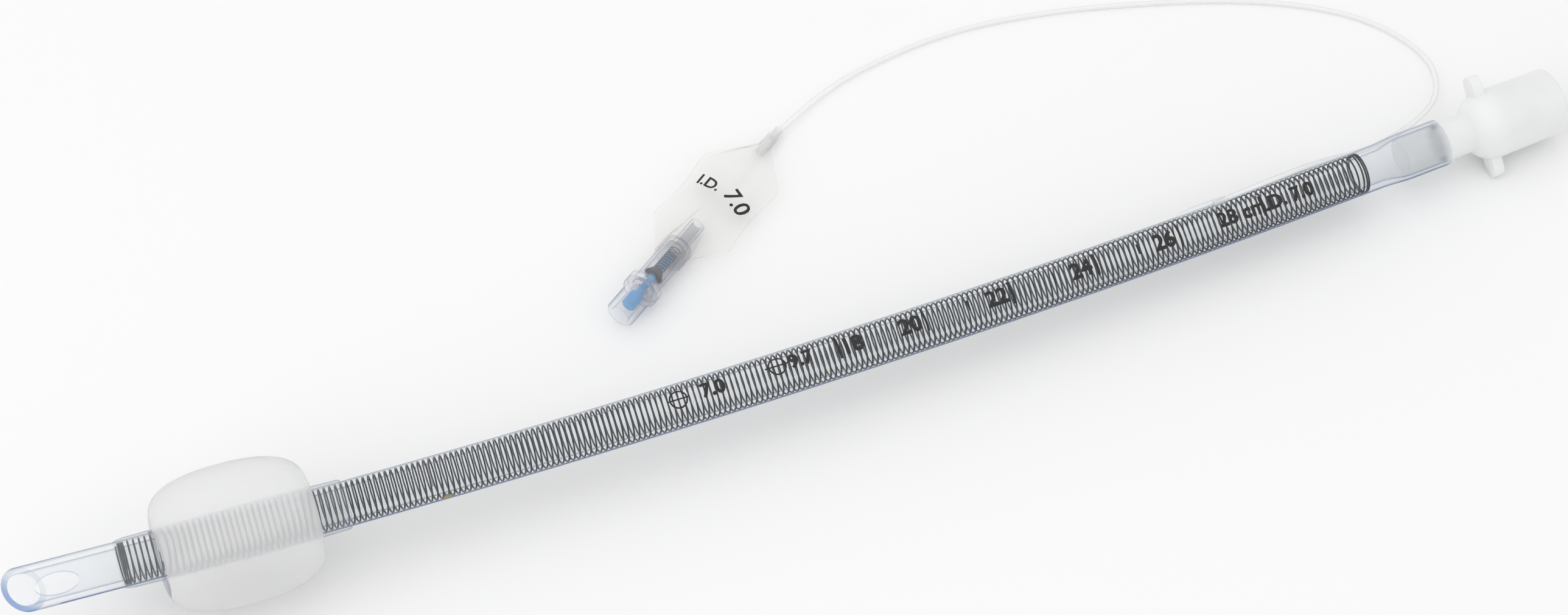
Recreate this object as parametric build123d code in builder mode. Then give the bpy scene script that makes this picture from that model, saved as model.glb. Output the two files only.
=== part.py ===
from build123d import *
from math import cos, pi, radians, sin, tan
import os

os.makedirs("parts", exist_ok=True)

# Every size is in millimetres and every angle in degrees.
# The origin is on the table under the middle of the tube, its cuff and its connector.
# +X runs along the tube towards the connector, +Y is the side that the pilot balloon lies on,
# and +Z is up. The table is z = 0.

# Tube, measured along its axis from the zero of its depth marks, a little inside the tip
lumen_diameter = 7.0
tube_diameter = 9.7
bend_radius = 2300
bend_start = 24
tube_end = 326
tip_start = -1.8
bevel_angle = 49
bevel_direction = 133.6
eye_length = 9.4
eye_width = 4.6
eye_position = 9.5
eye_direction = 294.5

# Flared end of the tube, stretched over the connector
flare_length = 16
flare_taper = 7
bend_clearance = 2
flare_start = tube_end - flare_length
flare_full = flare_start + flare_taper
bend_end = flare_start - bend_clearance
spigot_diameter = 8.9
flare_wall = 0.8
stretch_clearance = 0.02

# Steel wire wound into the wall
wire_diameter = 0.4
wire_radius = 4.38
wire_pitch = 1.2
close_pitch = 0.46
wire_start = 22.8
wire_clearance = 4
wire_end = flare_start - wire_clearance
close_turns_start = 3
close_turns_end = 2
facets_per_turn = 8

# Blue line that shows on an X-ray, extruded with the tube just under its surface
line_diameter = 0.28
line_depth = 0.03
line_direction = 215
line_start = 9

# Cuff with its two collars
cuff_diameter = 30.0
cuff_start = 30.6
cuff_length = 33.6
cuff_end = cuff_start + cuff_length
cuff_film = 0.25
cuff_shoulder = 6.5
cuff_flank = 2.0
distal_collar_length = 8.2
proximal_collar_length = 6.8
collar_start = cuff_start - distal_collar_length
collar_end = cuff_end + proximal_collar_length
distal_collar_diameter = 10.7
proximal_collar_diameter = 11.5
collar_chamfer = 1.2
collar_step = 2.2
collar_clearance = 0.03

# Connector with a 15 mm male cone
spigot_overlap = 9.8
spigot_end = tube_end - spigot_overlap
spigot_bore = 6.4
spigot_bare_length = 6.8
shoulder_length = 6.2
cone_length = 15.6
shoulder_start = tube_end + spigot_bare_length
cone_start = shoulder_start + shoulder_length
connector_end = cone_start + cone_length
cone_base_diameter = 15.45
cone_tip_diameter = 15.0
cone_bore_diameter = 12.9
spigot_lead = 0.3
spigot_lead_length = 0.8
shoulder_share = 0.26
shoulder_middle = shoulder_start + shoulder_share * shoulder_length
shoulder_middle_radius = 6.4
bore_funnel_lead = 3
bore_funnel_length = 4
bore_funnel_start = cone_start - bore_funnel_lead
bore_funnel_end = bore_funnel_start + bore_funnel_length
rim_radius = 0.9
ear_setback = 1.8
ear_position = cone_start - ear_setback
ear_reach = 11.7
ear_width = 4.6
ear_thickness = 2.4
ear_direction = 45
ear_root = 4.0

# Valve, measured inward from its mouth along its own axis
valve_mouth = (-33.7, 28.83)
valve_heading = 34.6
valve_slope = 2.5
socket_diameter = 6.7
socket_mouth_bore = 4.3
socket_inner_bore = 3.9
socket_depth = 8.1
socket_chamfer = 0.4
flange_diameter = 8.2
flange_start = 7.0
flange_joint = 8.6
flange_end = 10.2
flange_relief = 0.35
body_diameter = 6.2
body_plug_diameter = 5.2
plug_depth = 1.0
seat_position = 12.6
seat_bore = 2.8
chamber_diameter = 4.9
chamber_end = 22.0
body_end = 23.0
outlet_diameter = 3.6
outlet_end = 30.0
outlet_bore = 2.2
web_bore = 2.3
joint_clearance = 0.03

# Plunger, its seal and its spring
plunger_head_diameter = 3.2
plunger_travel = 1.4
plunger_head_start = 3.1
plunger_stop_gap = 0.1
plunger_head_end = socket_depth - plunger_travel - plunger_stop_gap
plunger_stem_diameter = 1.7
plunger_tail_diameter = 1.6
plunger_tail_end = 20.4
seal_gap = 0.05
seal_length = 2.2
seal_wide_diameter = 4.3
seal_lip = 0.5
seal_narrow_diameter = 2.4
spring_wire = 0.3
spring_mean_diameter = 2.3
spring_turns = 9
spring_clearance = 0.05
spring_facets = 6

# Pilot balloon, measured from the valve's mouth along the valve's axis
bag_start = 19.4
bag_waist = 36.6
bag_end = 56.8
bag_end_half_width = 1.6
bag_mouth_half_width = 4.5
bag_corner_half_width = 9.9
bag_waist_half_width = 8.9
bag_near_corner = 27.3
bag_far_corner = 46.6
bag_corner_radius = 1.8
bag_thickness = 3.4
bag_film = 0.3
bag_seam = 1.2
bag_edge = 1.3
bag_sleeve_diameter = 7.0
bag_sleeve_start = 18.4
bag_cone_end = 32.0
bag_cone_diameter = 4.4
neck_diameter = 2.5
neck_end = 60.0
sleeve_diameter = 1.9
sleeve_start = 54.0
sleeve_end = 62.2

# Inflation line and the joint that bonds it to the tube
pilot_diameter = 1.2
pilot_clearance = 0.02
pilot_insertion = 3.0
corner_share = 0.45
junction_direction = 62
junction_start = 261.5
junction_end = 273.5
junction_diameter = 2.0
junction_nose = 4.0
junction_tip = 1.0
table_gap = 0.02

# The frame's origin on the table, forward and to the left of the point below the tip
frame_middle = (176.4, -2.81)

# How far a cut runs past the face that it opens
overcut = 1.0

# Heights: the tube rests on its cuff and on the connector's lower ear
ear_round = ear_width / 2
ear_drop = (ear_reach - ear_round) * sin(radians(ear_direction)) + ear_round
cuff_middle = (cuff_start + cuff_end) / 2
cuff_height = cuff_diameter / 2
cuff_foot = cuff_end - cuff_shoulder
tube_slope = (cuff_height - ear_drop) / (ear_position - cuff_foot)
tip_height = cuff_height + tube_slope * cuff_foot + table_gap
bend_turn = (bend_end - bend_start) / bend_radius


def station(s):
    """The plane across the tube's axis at distance s from the zero of its depth marks.

    Its z_dir runs along the tube, its x_dir points to the tube's left and its y_dir up.
    """
    on_bend = min(max(s, bend_start), bend_end)
    first = -bend_turn / 2
    heading = first + (on_bend - bend_start) / bend_radius
    along = bend_start * cos(first) + bend_radius * (sin(heading) - sin(first))
    along += (s - on_bend) * cos(heading) if s > bend_end else 0
    along -= (bend_start - s) * cos(first) if s < bend_start else 0
    across = bend_start * sin(first) + bend_radius * (cos(first) - cos(heading))
    across += (s - on_bend) * sin(heading) if s > bend_end else 0
    across -= (bend_start - s) * sin(first) if s < bend_start else 0
    height = tip_height - tube_slope * along
    centre = Vector(along - frame_middle[0], across - frame_middle[1], height)
    forward = Vector(cos(heading), sin(heading), -tube_slope * cos(heading)).normalized()
    left = Vector(-sin(heading), cos(heading), 0)
    return Plane(origin=centre, x_dir=left, z_dir=forward)


def beside(s, distance, direction):
    """The point at a distance from the tube's axis, in a direction counted from its left side up."""
    turn = radians(direction)
    return station(s).from_local_coords(Vector(distance * cos(turn), distance * sin(turn), 0))


def lengthwise(s, direction=90):
    """The plane through the tube's axis at s: its x_dir is outward and its y_dir along the tube."""
    here = station(s)
    out = beside(s, 1, direction) - here.origin
    return Plane(origin=here.origin, x_dir=out, z_dir=out.cross(here.z_dir))


def axis_at(s):
    """The tube's axis at s, for turned shapes."""
    return Axis(origin=station(s).origin, direction=station(s).z_dir)


# Cross-section radii of the tube
inner = lumen_diameter / 2
outer = tube_diameter / 2
flare_inner = spigot_diameter / 2 + stretch_clearance
flare_outer = flare_inner + flare_wall

# Tube: one extrusion, bevelled and pierced at the patient end and flared at the other
tip_length = tube_diameter / tan(radians(bevel_angle))
with BuildPart() as shaft:
    with BuildLine() as axis_line:
        Line(station(tip_start).origin, station(bend_start).origin)
        ThreePointArc(
            station(bend_start).origin,
            station((bend_start + bend_end) / 2).origin,
            station(bend_end).origin,
        )
    for radius, mode in ((outer, Mode.ADD), (inner, Mode.SUBTRACT)):
        with BuildSketch(station(tip_start)):
            Circle(radius)
        sweep(path=axis_line.line, transition=Transition.RIGHT, mode=mode)
    with BuildSketch(lengthwise(bend_end)):
        with BuildLine():
            Polyline(
                (inner, 0),
                (outer, 0),
                (outer, flare_start - bend_end),
                (flare_outer, flare_full - bend_end),
                (flare_outer, tube_end - bend_end),
                (flare_inner, tube_end - bend_end),
                (flare_inner, flare_full - bend_end),
                (inner, flare_start - bend_end),
                close=True,
            )
        make_face()
    revolve(axis=axis_at(bend_end))
    with BuildSketch(lengthwise(tip_start, bevel_direction)):
        with BuildLine():
            Polyline(
                (-outer, 0),
                (outer, tip_length),
                (2 * outer, 1.5 * tip_length),
                (2 * outer, -tip_length),
                (-2 * outer, -tip_length),
                (-2 * outer, -0.5 * tip_length),
                close=True,
            )
        make_face()
    extrude(amount=tube_diameter, both=True, mode=Mode.SUBTRACT)
    far_wall = beside(eye_position, outer, eye_direction)
    eye_normal = far_wall - station(eye_position).origin
    with BuildSketch(Plane(far_wall, x_dir=station(eye_position).z_dir, z_dir=eye_normal)):
        Ellipse(eye_length / 2, eye_width / 2)
    extrude(amount=outer, both=True, mode=Mode.SUBTRACT)
shaft.part.label = "tube_shaft"
export_step(shaft.part, "parts/tube_shaft.step")


# Wire: one length of steel, wound closely at each end and evenly between them
close_length_start = close_turns_start * close_pitch
close_length_end = close_turns_end * close_pitch
even_turns = round((wire_end - wire_start - close_length_start - close_length_end) / wire_pitch)
all_turns = close_turns_start + even_turns + close_turns_end


def wire_distance(turns):
    """How far along the tube the wire has come after so many turns."""
    close = min(turns, close_turns_start)
    even = min(max(turns - close_turns_start, 0), even_turns)
    last = max(turns - close_turns_start - even_turns, 0)
    return wire_start + (close + last) * close_pitch + even * wire_pitch


wire_points = []
for facet in range(all_turns * facets_per_turn + 1):
    turns = facet / facets_per_turn
    wire_points.append(beside(wire_distance(turns), wire_radius, -360 * turns))

with BuildPart() as wire:
    with BuildLine() as winding:
        coil = Polyline(*wire_points)
    with BuildSketch(Plane(origin=coil @ 0, z_dir=coil % 0)):
        RegularPolygon(radius=wire_diameter / 2, side_count=3)
    sweep(transition=Transition.RIGHT)
wire.part.label = "reinforcing_wire"
export_step(wire.part, "parts/reinforcing_wire.step")

# X-ray line: a thread of blue plastic along the whole tube, stretched with the flare
line_rail = outer - line_depth - line_diameter / 2
flare_rail = flare_outer - line_depth - line_diameter / 2
with BuildPart() as xray_line:
    with BuildLine() as rail:
        Line(
            beside(line_start, line_rail, line_direction),
            beside(bend_start, line_rail, line_direction),
        )
        ThreePointArc(
            beside(bend_start, line_rail, line_direction),
            beside((bend_start + bend_end) / 2, line_rail, line_direction),
            beside(bend_end, line_rail, line_direction),
        )
        Polyline(
            beside(bend_end, line_rail, line_direction),
            beside(flare_start, line_rail, line_direction),
            beside(flare_full, flare_rail, line_direction),
            beside(tube_end, flare_rail, line_direction),
        )
    with BuildSketch(Plane(beside(line_start, line_rail, line_direction), z_dir=station(line_start).z_dir)):
        Circle(line_diameter / 2)
    sweep(path=rail.line, transition=Transition.RIGHT)
xray_line.part.label = "xray_line"
export_step(xray_line.part, "parts/xray_line.step")


# Cuff: a thin barrel of film, blown in one piece with the two collars that are bonded to the tube
def cuff_outline(inset):
    """The film's outline as (radius, distance) points, this far inside its outer face."""
    foot = distal_collar_diameter / 2 - inset
    top = cuff_diameter / 2 - inset
    first = cuff_start + inset - cuff_middle
    last = cuff_end - inset - cuff_middle
    return [
        (0, first),
        (foot, first),
        (top, first + cuff_flank),
        (top, last - cuff_flank),
        (foot, last),
        (0, last),
    ]


with BuildPart() as cuff:
    for inset, mode in ((0, Mode.ADD), (cuff_film, Mode.SUBTRACT)):
        with BuildSketch(lengthwise(cuff_middle)) as barrel:
            with BuildLine():
                Polyline(*cuff_outline(inset), close=True)
            make_face()
            shoulders = barrel.vertices().group_by(Axis.X)[-1]
            fillet(shoulders, radius=cuff_shoulder - inset)
        revolve(axis=axis_at(cuff_middle), mode=mode)
    with BuildSketch(lengthwise(cuff_middle)):
        with BuildLine():
            Polyline(
                (0, collar_start - cuff_middle),
                (outer + 2 * collar_clearance, collar_start - cuff_middle),
                (distal_collar_diameter / 2, collar_start + collar_chamfer - cuff_middle),
                (distal_collar_diameter / 2, cuff_start + cuff_film - cuff_middle),
                (0, cuff_start + cuff_film - cuff_middle),
                close=True,
            )
        make_face()
        with BuildLine():
            Polyline(
                (0, cuff_end - cuff_film - cuff_middle),
                (proximal_collar_diameter / 2, cuff_end - cuff_film - cuff_middle),
                (proximal_collar_diameter / 2, collar_end - collar_step - cuff_middle),
                (distal_collar_diameter / 2, collar_end - collar_step - cuff_middle),
                (distal_collar_diameter / 2, collar_end - cuff_middle),
                (0, collar_end - cuff_middle),
                close=True,
            )
        make_face()
    revolve(axis=axis_at(cuff_middle))
    with BuildLine() as bore_line:
        ThreePointArc(
            station(bend_start).origin,
            station(cuff_middle).origin,
            station(collar_end + overcut).origin,
        )
    with BuildSketch(station(bend_start)):
        Circle(outer + collar_clearance)
    sweep(path=bore_line.line, mode=Mode.SUBTRACT)
    with BuildSketch(station(collar_start - overcut)):
        Circle(outer + collar_clearance)
    extrude(amount=bend_start - collar_start + overcut, mode=Mode.SUBTRACT)
cuff.part.label = "cuff"
export_step(cuff.part, "parts/cuff.step")

# Connector: a moulding with a spigot, a rounded shoulder, two ears and a 15 mm cone
with BuildPart() as connector:
    with BuildSketch(lengthwise(bend_end)):
        with BuildLine():
            Polyline(
                (spigot_bore / 2, spigot_end - bend_end),
                (spigot_diameter / 2 - spigot_lead, spigot_end - bend_end),
                (spigot_diameter / 2, spigot_end + spigot_lead_length - bend_end),
                (spigot_diameter / 2, shoulder_start - bend_end),
            )
            ThreePointArc(
                (spigot_diameter / 2, shoulder_start - bend_end),
                (shoulder_middle_radius, shoulder_middle - bend_end),
                (cone_base_diameter / 2, cone_start - bend_end),
            )
            Polyline(
                (cone_base_diameter / 2, cone_start - bend_end),
                (cone_tip_diameter / 2, connector_end - bend_end),
                (cone_bore_diameter / 2, connector_end - bend_end),
                (cone_bore_diameter / 2, bore_funnel_end - bend_end),
                (spigot_bore / 2, bore_funnel_start - bend_end),
                (spigot_bore / 2, spigot_end - bend_end),
            )
        make_face()
    revolve(axis=axis_at(bend_end))
    rim = connector.edges().filter_by(GeomType.CIRCLE).sort_by(Axis.X)[-2:]
    fillet(rim.sort_by(lambda e: e.radius)[-1], radius=rim_radius)
    for direction in (ear_direction, ear_direction + 180):
        root = station(ear_position)
        out = beside(ear_position, 1, direction) - root.origin
        with BuildSketch(Plane(origin=root.origin, x_dir=out, z_dir=root.z_dir)) as ear:
            with BuildLine():
                Line((ear_root, -ear_width / 2), (ear_reach - ear_round, -ear_width / 2))
                RadiusArc(
                    (ear_reach - ear_round, -ear_width / 2),
                    (ear_reach - ear_round, ear_width / 2),
                    -ear_round,
                )
                Polyline(
                    (ear_reach - ear_round, ear_width / 2),
                    (ear_root, ear_width / 2),
                    (ear_root, -ear_width / 2),
                )
            make_face()
        extrude(amount=ear_thickness / 2, both=True)
connector.part.label = "connector_15mm"
export_step(connector.part, "parts/connector_15mm.step")


def valve_plane(u):
    """The plane across the valve's axis, this far inward from its mouth.

    Its z_dir runs inward, its x_dir points level to the left and its y_dir up.
    """
    heading = radians(valve_heading)
    slope = radians(valve_slope)
    inward = Vector(cos(heading) * cos(slope), sin(heading) * cos(slope), -sin(slope))
    left = Vector(-sin(heading), cos(heading), 0)
    mouth = Vector(*valve_mouth, flange_diameter / 2 / cos(slope) + table_gap + flange_joint * sin(slope))
    return Plane(origin=mouth + inward * u, x_dir=left, z_dir=inward)


# The level plane along the valve's axis: x to the left, y inward from the mouth
valve_side = Plane(
    origin=valve_plane(0).origin,
    x_dir=valve_plane(0).x_dir,
    z_dir=valve_plane(0).x_dir.cross(valve_plane(0).z_dir),
)
valve_axis = Axis(origin=valve_plane(0).origin, direction=valve_plane(0).z_dir)

# Valve socket: the clear half that a syringe fits, plugged into the body
with BuildPart() as socket:
    with BuildSketch(valve_side):
        with BuildLine():
            Polyline(
                (socket_mouth_bore / 2, 0),
                (socket_diameter / 2 - socket_chamfer, 0),
                (socket_diameter / 2, socket_chamfer),
                (socket_diameter / 2, flange_start),
                (flange_diameter / 2 - flange_relief, flange_start),
                (flange_diameter / 2, flange_start + flange_relief),
                (flange_diameter / 2, flange_joint),
                (body_plug_diameter / 2, flange_joint),
                (body_plug_diameter / 2, flange_joint + plug_depth),
                (web_bore / 2, flange_joint + plug_depth),
                (web_bore / 2, socket_depth),
                (socket_inner_bore / 2, socket_depth),
                close=True,
            )
        make_face()
    revolve(axis=valve_axis)
socket.part.label = "valve_socket"
export_step(socket.part, "parts/valve_socket.step")

# Valve body: the clear half with the seat, the spring's chamber and the outlet into the balloon
plug_bore = body_plug_diameter / 2 + joint_clearance
with BuildPart() as body:
    with BuildSketch(valve_side):
        with BuildLine():
            Polyline(
                (plug_bore, flange_joint + joint_clearance),
                (flange_diameter / 2, flange_joint + joint_clearance),
                (flange_diameter / 2, flange_end - flange_relief),
                (flange_diameter / 2 - flange_relief, flange_end),
                (body_diameter / 2, flange_end),
                (body_diameter / 2, body_end),
                (outlet_diameter / 2, body_end),
                (outlet_diameter / 2, outlet_end),
                (outlet_bore / 2, outlet_end),
                (outlet_bore / 2, chamber_end),
                (chamber_diameter / 2, chamber_end),
                (chamber_diameter / 2, seat_position),
                (seat_bore / 2, seat_position),
                (seat_bore / 2, flange_joint + plug_depth + joint_clearance),
                (plug_bore, flange_joint + plug_depth + joint_clearance),
                close=True,
            )
        make_face()
    revolve(axis=valve_axis)
body.part.label = "valve_body"
export_step(body.part, "parts/valve_body.step")

# Plunger: the blue stem whose head a syringe's tip pushes inward
seal_start = seat_position + seal_gap
seal_end = seal_start + seal_length
with BuildPart() as plunger:
    with BuildSketch(valve_side):
        with BuildLine():
            Polyline(
                (0, plunger_head_start),
                (plunger_head_diameter / 2, plunger_head_start),
                (plunger_head_diameter / 2, plunger_head_end),
                (plunger_stem_diameter / 2, plunger_head_end),
                (plunger_stem_diameter / 2, seal_end),
                (plunger_tail_diameter / 2, seal_end),
                (plunger_tail_diameter / 2, plunger_tail_end),
                (0, plunger_tail_end),
                close=True,
            )
        make_face()
    revolve(axis=valve_axis)
plunger.part.label = "valve_plunger"
export_step(plunger.part, "parts/valve_plunger.step")

# Seal: the black rubber cone on the plunger that closes the seat from inside
with BuildPart() as seal:
    with BuildSketch(valve_side):
        with BuildLine():
            Polyline(
                (plunger_stem_diameter / 2 + joint_clearance, seal_start),
                (seal_wide_diameter / 2, seal_start),
                (seal_wide_diameter / 2, seal_start + seal_lip),
                (seal_narrow_diameter / 2, seal_end),
                (plunger_stem_diameter / 2 + joint_clearance, seal_end),
                close=True,
            )
        make_face()
    revolve(axis=valve_axis)
seal.part.label = "valve_seal"
export_step(seal.part, "parts/valve_seal.step")

# Spring: steel, between the back of the seal and the end of the chamber
spring_start = seal_end + spring_wire / 2 + spring_clearance
spring_length = chamber_end - spring_wire / 2 - spring_clearance - spring_start
with BuildPart() as spring:
    with BuildLine():
        turns_of_spring = Helix(
            pitch=spring_length / spring_turns,
            height=spring_length,
            radius=spring_mean_diameter / 2,
            center=valve_plane(spring_start).origin,
            direction=valve_plane(0).z_dir,
        )
    with BuildSketch(Plane(origin=turns_of_spring @ 0, z_dir=turns_of_spring % 0)):
        RegularPolygon(radius=spring_wire / 2, side_count=spring_facets)
    sweep(is_frenet=True)
spring.part.label = "valve_spring"
export_step(spring.part, "parts/valve_spring.step")


# Pilot balloon: a flat bag of welded film, gripping the valve at one end and the line at the other
with BuildPart() as bag:
    with BuildSketch(valve_side) as outline:
        with BuildLine():
            for side in (1, -1):
                Polyline(
                    (0, bag_start),
                    (side * bag_mouth_half_width, bag_start),
                    (side * bag_corner_half_width, bag_near_corner),
                )
                ThreePointArc(
                    (side * bag_corner_half_width, bag_near_corner),
                    (side * bag_waist_half_width, bag_waist),
                    (side * bag_corner_half_width, bag_far_corner),
                )
                Polyline(
                    (side * bag_corner_half_width, bag_far_corner),
                    (side * bag_end_half_width, bag_end),
                    (0, bag_end),
                )
        make_face()
        corners = outline.vertices().filter_by(lambda v: abs(v.X) > bag_waist_half_width)
        fillet(corners, radius=bag_corner_radius)
    extrude(amount=bag_thickness / 2, both=True)
    fillet(
        bag.faces().sort_by(Axis.Z)[-1].edges() + bag.faces().sort_by(Axis.Z)[0].edges(),
        radius=bag_edge,
    )
    with BuildSketch(valve_side):
        with BuildLine():
            Polyline(
                (0, bag_sleeve_start),
                (bag_sleeve_diameter / 2, bag_sleeve_start),
                (bag_sleeve_diameter / 2, body_end + bag_film),
                (bag_cone_diameter / 2, bag_cone_end),
                (0, bag_cone_end),
                close=True,
            )
        make_face()
    revolve(axis=valve_axis)
    with BuildSketch(valve_plane(bag_end - bag_seam)):
        Circle(neck_diameter / 2)
    extrude(amount=neck_end - bag_end + bag_seam)
    with BuildSketch(valve_side):
        add(outline.sketch_local)
        offset(amount=-bag_seam, mode=Mode.REPLACE)
    extrude(amount=bag_thickness / 2 - bag_film, both=True, mode=Mode.SUBTRACT)
    for width, first, last in (
        (body_diameter + 2 * joint_clearance, bag_sleeve_start - overcut, body_end + joint_clearance),
        (outlet_diameter + 2 * joint_clearance, body_end, bag_cone_end + overcut),
        (sleeve_diameter + 2 * joint_clearance, bag_end - bag_seam - overcut, neck_end + overcut),
    ):
        with BuildSketch(valve_plane(first)):
            Circle(width / 2)
        extrude(amount=last - first, mode=Mode.SUBTRACT)
bag.part.label = "pilot_balloon"
export_step(bag.part, "parts/pilot_balloon.step")

# Neck sleeve: the short tube that the inflation line is bonded into
with BuildPart() as sleeve:
    with BuildSketch(valve_plane(sleeve_start)):
        Circle(sleeve_diameter / 2)
        Circle(pilot_diameter / 2 + pilot_clearance, mode=Mode.SUBTRACT)
    extrude(amount=sleeve_end - sleeve_start)
sleeve.part.label = "neck_sleeve"
export_step(sleeve.part, "parts/neck_sleeve.step")

# Line junction: the clear teardrop that bonds the inflation line to the back of the tube
junction_offset = outer + pilot_diameter / 2 + collar_clearance


def junction_plane(s):
    """The plane across the junction at distance s along the tube."""
    return Plane(
        origin=beside(s, junction_offset, junction_direction),
        x_dir=station(s).x_dir,
        z_dir=station(s).z_dir,
    )


with BuildPart() as junction:
    with BuildSketch(junction_plane(junction_start)):
        Circle(junction_tip / 2)
    with BuildSketch(junction_plane(junction_start + junction_nose)):
        Circle(junction_diameter / 2)
    loft()
    with BuildSketch(junction_plane(junction_start + junction_nose)):
        Circle(junction_diameter / 2)
    extrude(amount=junction_end - junction_start - junction_nose)
    with BuildSketch(junction_plane(junction_end - pilot_insertion)):
        Circle(pilot_diameter / 2 + pilot_clearance)
    extrude(amount=2 * pilot_insertion, mode=Mode.SUBTRACT)
    with BuildSketch(station(junction_start - overcut)):
        Circle(outer + collar_clearance)
    extrude(amount=junction_end - junction_start + 2 * overcut, mode=Mode.SUBTRACT)
junction.part.label = "line_junction"
export_step(junction.part, "parts/line_junction.step")

# Inflation line: a thin soft tube from the junction round to the balloon's neck
line_height = pilot_diameter / 2 + table_gap
line_from = junction_plane(junction_end - pilot_insertion).origin
line_to = valve_plane(sleeve_end - pilot_insertion).origin
route = [
    line_from,
    Vector(107.6, 3.01, 15.5),
    Vector(122.1, 6.41, 11.4),
    Vector(136.1, 9.01, 6.6),
    Vector(149.6, 12.81, 3.9),
    Vector(158.1, 18.81, 2.0),
    Vector(161.4, 29.51, 0.8),
    Vector(154.8, 42.81, line_height),
    Vector(143, 52.71, line_height),
    Vector(126.5, 61.11, line_height),
    Vector(107.2, 67.61, line_height),
    Vector(86, 73.31, line_height),
    Vector(64.7, 76.21, line_height),
    Vector(44.4, 74.41, 0.7),
    Vector(28.7, 70.21, 1.1),
    line_to,
]
corner_radii = []
for before, corner, after in zip(route, route[1:], route[2:]):
    turn = radians((corner - before).get_angle(after - corner))
    shorter_run = min((corner - before).length, (after - corner).length)
    corner_radii.append(corner_share * shorter_run / tan(turn / 2))

with BuildPart() as pilot:
    with BuildLine() as path:
        way = FilletPolyline(*route, radius=corner_radii)
    with BuildSketch(Plane(origin=line_from, z_dir=route[1] - line_from)):
        Circle(pilot_diameter / 2)
    sweep(path=path.line)
pilot.part.label = "pilot_line"
export_step(pilot.part, "parts/pilot_line.step")

line_length = way.length
section = pi * pilot_diameter**2 / 4
print("corner radii", [round(radius, 1) for radius in corner_radii])
print("inflation line", round(line_length, 1), "mm long,", round(line_length / pilot_diameter), "diameters")
print("its volume", round(pilot.part.volume, 1), "and section times length", round(section * line_length, 1))
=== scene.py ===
from math import cos, pi, radians, sin, sqrt

import bpy
from mathutils import Matrix, Vector


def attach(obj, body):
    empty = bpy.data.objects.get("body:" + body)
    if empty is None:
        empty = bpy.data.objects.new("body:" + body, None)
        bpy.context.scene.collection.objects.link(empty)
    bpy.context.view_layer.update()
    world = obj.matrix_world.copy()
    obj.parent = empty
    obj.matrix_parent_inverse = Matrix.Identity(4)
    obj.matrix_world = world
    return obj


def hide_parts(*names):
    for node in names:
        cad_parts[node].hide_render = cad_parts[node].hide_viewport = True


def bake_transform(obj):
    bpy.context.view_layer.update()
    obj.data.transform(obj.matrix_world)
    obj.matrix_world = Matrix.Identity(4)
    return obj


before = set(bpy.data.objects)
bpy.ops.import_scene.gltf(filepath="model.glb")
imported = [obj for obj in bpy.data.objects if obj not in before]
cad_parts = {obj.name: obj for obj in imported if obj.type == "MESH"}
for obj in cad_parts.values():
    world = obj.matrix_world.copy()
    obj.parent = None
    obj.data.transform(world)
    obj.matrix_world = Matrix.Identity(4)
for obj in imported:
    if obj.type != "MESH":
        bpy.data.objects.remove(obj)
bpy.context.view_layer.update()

# Camera: it looks down on the tube from the patient's end, a little turned,
# with the whole tube from corner to corner of a wide frame.
focal_length = 8160.2
frame_pixels = 2576
camera_place = Vector((-0.227671, -0.539715, 0.893194))
camera_azimuth = radians(22.223)
camera_dip = radians(55.881)
camera_roll = radians(0.577)
camera_data = bpy.data.cameras.new("photo_camera")
camera_data.sensor_width = 36
camera_data.lens = focal_length / frame_pixels * camera_data.sensor_width
camera = bpy.data.objects.new("photo_camera", camera_data)
bpy.context.collection.objects.link(camera)
looking = Vector(
    (sin(camera_azimuth) * cos(camera_dip), cos(camera_azimuth) * cos(camera_dip), -sin(camera_dip))
)
level = Vector((cos(camera_azimuth), -sin(camera_azimuth), 0))
across = level * cos(camera_roll) + level.cross(looking) * sin(camera_roll)
camera.matrix_world = Matrix.Translation(camera_place) @ Matrix(
    (across, across.cross(looking), -looking)
).transposed().to_4x4()
bpy.context.scene.camera = camera


# Inflation line: a thin extruded tube of soft clear PVC, about 1.2 mm thick, bonded into
# the junction on the tube and into the balloon's neck. It lies in one loose loop.
line_diameter = 0.0012
line_points = [
    (0.09392, 0.00190, 0.01525),
    (0.10760, 0.00301, 0.01550),
    (0.12210, 0.00641, 0.01110),
    (0.13610, 0.00821, 0.00610),
    (0.14960, 0.01281, 0.00390),
    (0.15810, 0.01881, 0.00200),
    (0.16140, 0.02951, 0.00080),
    (0.15480, 0.04281, 0.00062),
    (0.14300, 0.05271, 0.00062),
    (0.12650, 0.06111, 0.00062),
    (0.10720, 0.06761, 0.00062),
    (0.08600, 0.07331, 0.00062),
    (0.06470, 0.07621, 0.00062),
    (0.04440, 0.07441, 0.00070),
    (0.02870, 0.07021, 0.00110),
    (0.01498, 0.06241, 0.00192),
]


def colour(code):
    """An sRGB hex colour as linear red, green, blue and alpha."""
    parts = [int(code[i : i + 2], 16) / 255 for i in (1, 3, 5)]
    return (*[c / 12.92 if c < 0.04045 else ((c + 0.055) / 1.055) ** 2.4 for c in parts], 1)


def add_node(tree, kind, sockets=None, **settings):
    """A node with its settings, its sockets given values or linked to other nodes' outputs."""
    node = tree.nodes.new(kind)
    for name, value in settings.items():
        setattr(node, name, value)
    for name, value in (sockets or {}).items():
        if isinstance(value, bpy.types.NodeSocket):
            tree.links.new(value, node.inputs[name])
        else:
            node.inputs[name].default_value = value
    return node


def new_material(name):
    """An empty material, with its node tree and its output node."""
    material = bpy.data.materials.new(name)
    material.use_nodes = True
    material.node_tree.nodes.clear()
    output = material.node_tree.nodes.new("ShaderNodeOutputMaterial")
    return material, material.node_tree, output


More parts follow.
